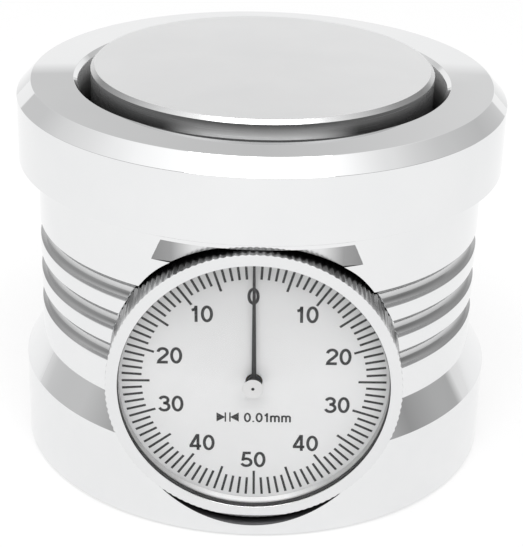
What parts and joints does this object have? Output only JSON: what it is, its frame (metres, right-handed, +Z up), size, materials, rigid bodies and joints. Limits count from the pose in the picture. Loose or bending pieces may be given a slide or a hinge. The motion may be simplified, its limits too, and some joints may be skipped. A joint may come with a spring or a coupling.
{
  "type": "dial tool setter",
  "caption": "Round steel tool setter: a sprung anvil in a guard ring on a grooved housing, read by a knurled dial set in its side.",
  "frame": {"origin": "centre of the flat face that the setter stands on", "axes": "+Z up, along the anvil's travel; the dial looks along -Y"},
  "size_m": [0.0612, 0.0612, 0.05],
  "materials": {
    "polished_steel": "polished and hard chromed",
    "ground_steel": "finely ground",
    "chromed_brass": "bright chrome",
    "satin_case": "satin turned",
    "tool_steel": "turned, bare",
    "spring_steel": "drawn wire",
    "brass": "grained",
    "bronze": "turned",
    "black_steel": "black oxide",
    "pointer_black": "matt black",
    "gasket_rubber": "matt black",
    "dial_face": "silvered satin, with black graduations",
    "clear_crystal": "clear and flat"
  },
  "bodies": {
    "housing": {"housing": "polished_steel", "base_cover": "ground_steel", "cover_screw_1": "black_steel", "cover_screw_2": "black_steel", "cover_screw_3": "black_steel", "guide_bush": "bronze", "guide_pin": "tool_steel", "case_clamp_screw": "black_steel", "return_spring": "spring_steel", "movement_case": "satin_case", "movement_back_plate": "brass", "movement_front_plate": "brass", "pillar_1": "brass", "pillar_2": "brass", "pillar_3": "brass", "movement_screw_1": "tool_steel", "movement_screw_2": "tool_steel", "movement_screw_3": "tool_steel", "hairspring": "spring_steel", "hairspring_stud": "brass", "bezel_snap_ring": "spring_steel"},
    "anvil": {"anvil": "ground_steel", "stem": "tool_steel", "stop_ring": "black_steel", "drive_arm": "tool_steel", "arm_clamp_screw": "black_steel", "rack": "tool_steel", "rack_screw_1": "tool_steel", "rack_screw_2": "tool_steel"},
    "rack_arbor": {"rack_pinion": "tool_steel", "drive_wheel": "brass"},
    "center_arbor": {"center_pinion": "tool_steel", "pointer_hub": "pointer_black", "pointer": "pointer_black"},
    "take_up_arbor": {"take_up_arbor": "tool_steel", "take_up_wheel": "brass", "hairspring_collet": "brass"},
    "bezel": {"bezel": "chromed_brass", "dial_plate": "dial_face", "dial_ring": "chromed_brass", "crystal_gasket": "gasket_rubber", "crystal": "clear_crystal"}
  },
  "joints": [
    {"name": "anvil_slide", "type": "slide", "parent": "housing", "child": "anvil", "axis": [0, 0, -1], "range_m": [0, 0.0015], "stiffness_N_per_m": 500, "springref_m": -0.004, "deforming": ["return_spring"]},
    {"name": "rack_arbor_turn", "type": "hinge", "parent": "housing", "child": "rack_arbor", "pos_m": [0.00727, 0, 0.0195], "axis": [0, -1, 0], "range_deg": [-1, 55]},
    {"name": "pointer_turn", "type": "hinge", "parent": "housing", "child": "center_arbor", "pos_m": [0, 0, 0.0195], "axis": [0, -1, 0], "range_deg": [-541, 1]},
    {"name": "take_up_turn", "type": "hinge", "parent": "housing", "child": "take_up_arbor", "pos_m": [-0.00462, 0, 0.0195], "axis": [0, -1, 0], "range_deg": [-1, 91]},
    {"name": "bezel_turn", "type": "hinge", "parent": "housing", "child": "bezel", "pos_m": [0, 0, 0.0195], "axis": [0, -1, 0], "continuous": true}
  ],
  "couplings": [
    {"joint": "rack_arbor_turn", "follows": "anvil_slide", "rad_per_m": 628.32},
    {"joint": "pointer_turn", "follows": "anvil_slide", "rad_per_m": -6283.2},
    {"joint": "take_up_turn", "follows": "anvil_slide", "rad_per_m": 1047.2}
  ]
}
